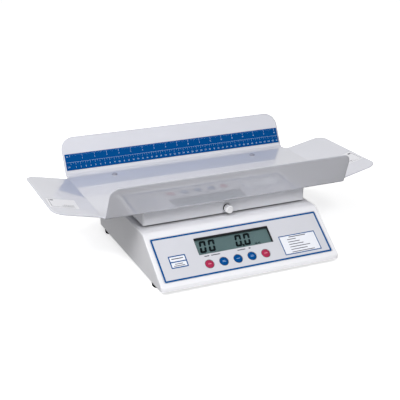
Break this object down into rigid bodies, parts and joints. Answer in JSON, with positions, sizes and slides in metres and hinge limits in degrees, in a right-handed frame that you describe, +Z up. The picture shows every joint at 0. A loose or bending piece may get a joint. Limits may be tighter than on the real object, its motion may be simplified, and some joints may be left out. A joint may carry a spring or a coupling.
{
  "type": "digital baby weighing scale",
  "caption": "Low wedge-shaped electronic scale with a sloped button console, carrying a wide shallow baby tray folded from one translucent sheet, with a measuring strip on its rear wall.",
  "frame": {"origin": "on the floor under the middle of the whole scale, which stands on its feet", "axes": "+X to the right of someone who faces the console, +Y to the rear, +Z up"},
  "size_m": [0.656, 0.38, 0.1868],
  "materials": {
    "white_housing": "injection-moulded, satin white",
    "white_platform": "injection-moulded, matt white",
    "translucent_tray": "milky translucent sheet, heat-bent, glossy",
    "blue_strip": "printed self-adhesive film with white tape marks",
    "grey_overlay": "printed polyester film",
    "clear_window": "clear acrylic",
    "liquid_crystal": "reflective display, teal-grey",
    "blue_key": "moulded blue",
    "red_key": "moulded crimson",
    "black_plastic": "moulded black",
    "black_rubber": "soft black rubber",
    "zinc_steel": "zinc-plated pressed steel",
    "bright_steel": "nickel-plated steel",
    "bare_aluminium": "milled, lightly brushed",
    "circuit_green": "solder mask on glass-fibre board",
    "grey_ribbon": "flat cable insulation",
    "battery_jacket": "plain jacket on a metal can"
  },
  "bodies": {
    "base": {"housing": "white_housing", "bottom_pan": "zinc_steel", "foot_front_left": "black_rubber", "foot_rear_left": "black_rubber", "foot_front_right": "black_rubber", "foot_rear_right": "black_rubber", "base_screw_1": "zinc_steel", "base_screw_2": "zinc_steel", "base_screw_3": "zinc_steel", "base_screw_4": "zinc_steel", "console_overlay": "grey_overlay", "lcd_window": "clear_window", "lcd_module": "liquid_crystal", "lcd_frame": "black_plastic", "display_board": "circuit_green", "board_screw_1": "zinc_steel", "board_screw_2": "zinc_steel", "main_board": "circuit_green", "ribbon_cable": "grey_ribbon", "dc_inlet": "black_plastic", "dc_inlet_nut": "bright_steel", "battery_holder": "black_plastic", "battery_1": "battery_jacket", "battery_2": "battery_jacket", "battery_3": "battery_jacket", "battery_4": "battery_jacket", "contact_plate_front": "bright_steel", "contact_plate_rear": "bright_steel", "battery_cover": "black_plastic", "battery_cover_screw": "zinc_steel", "load_cell_block": "bare_aluminium", "load_cell": "bare_aluminium", "load_cell_screw_1": "bright_steel", "load_cell_screw_2": "bright_steel", "overload_stop": "bright_steel"},
    "spider_frame": {"spider": "zinc_steel", "platform_riser": "bare_aluminium", "riser_screw_1": "bright_steel", "riser_screw_2": "bright_steel", "spider_screw_1": "bright_steel", "spider_screw_2": "bright_steel", "platform_pad_front_left": "black_rubber", "platform_pad_rear_left": "black_rubber", "platform_pad_front_right": "black_rubber", "platform_pad_rear_right": "black_rubber"},
    "platform_and_tray": {"platform": "white_platform", "tray": "translucent_tray", "measuring_strip": "blue_strip", "tray_screw_1": "black_plastic", "tray_screw_2": "black_plastic", "tray_screw_3": "black_plastic", "tray_screw_4": "black_plastic", "thumbscrew_nut": "bright_steel"},
    "screw_washer": {"thumbscrew_washer": "black_plastic"},
    "locking_screw": {"thumbscrew": "white_platform"},
    "key_1": {"key_1": "red_key"},
    "key_2": {"key_2": "blue_key"},
    "key_3": {"key_3": "blue_key"},
    "key_4": {"key_4": "blue_key"},
    "key_5": {"key_5": "red_key"}
  },
  "joints": [
    {"name": "load_deflection", "type": "slide", "parent": "base", "child": "spider_frame", "axis": [0, 0, 1], "range_m": [-0.00025, 0], "stiffness_N_per_m": 400000, "springref_m": 0.0001},
    {"name": "platform_lift", "type": "slide", "parent": "spider_frame", "child": "platform_and_tray", "axis": [0, 0, 1], "range_m": [0, 0.04]},
    {"name": "thumbscrew_travel", "type": "slide", "parent": "platform_and_tray", "child": "screw_washer", "axis": [0, -1, 0], "range_m": [0, 0.006]},
    {"name": "thumbscrew_turn", "type": "hinge", "parent": "screw_washer", "child": "locking_screw", "pos_m": [0, -0.0753, 0.096], "axis": [0, -1, 0], "range_deg": [0, 2160]},
    {"name": "key_1_press", "type": "slide", "parent": "base", "child": "key_1", "axis": [0, 0.6014, -0.7989], "range_m": [0, 0.0005], "stiffness_N_per_m": 5000, "springref_m": -0.0001},
    {"name": "key_2_press", "type": "slide", "parent": "base", "child": "key_2", "axis": [0, 0.6014, -0.7989], "range_m": [0, 0.0005], "stiffness_N_per_m": 5000, "springref_m": -0.0001},
    {"name": "key_3_press", "type": "slide", "parent": "base", "child": "key_3", "axis": [0, 0.6014, -0.7989], "range_m": [0, 0.0005], "stiffness_N_per_m": 5000, "springref_m": -0.0001},
    {"name": "key_4_press", "type": "slide", "parent": "base", "child": "key_4", "axis": [0, 0.6014, -0.7989], "range_m": [0, 0.0005], "stiffness_N_per_m": 5000, "springref_m": -0.0001},
    {"name": "key_5_press", "type": "slide", "parent": "base", "child": "key_5", "axis": [0, 0.6014, -0.7989], "range_m": [0, 0.0005], "stiffness_N_per_m": 5000, "springref_m": -0.0001}
  ],
  "couplings": [
    {"joint": "thumbscrew_turn", "follows": "thumbscrew_travel", "rad_per_m": 6283.2}
  ]
}
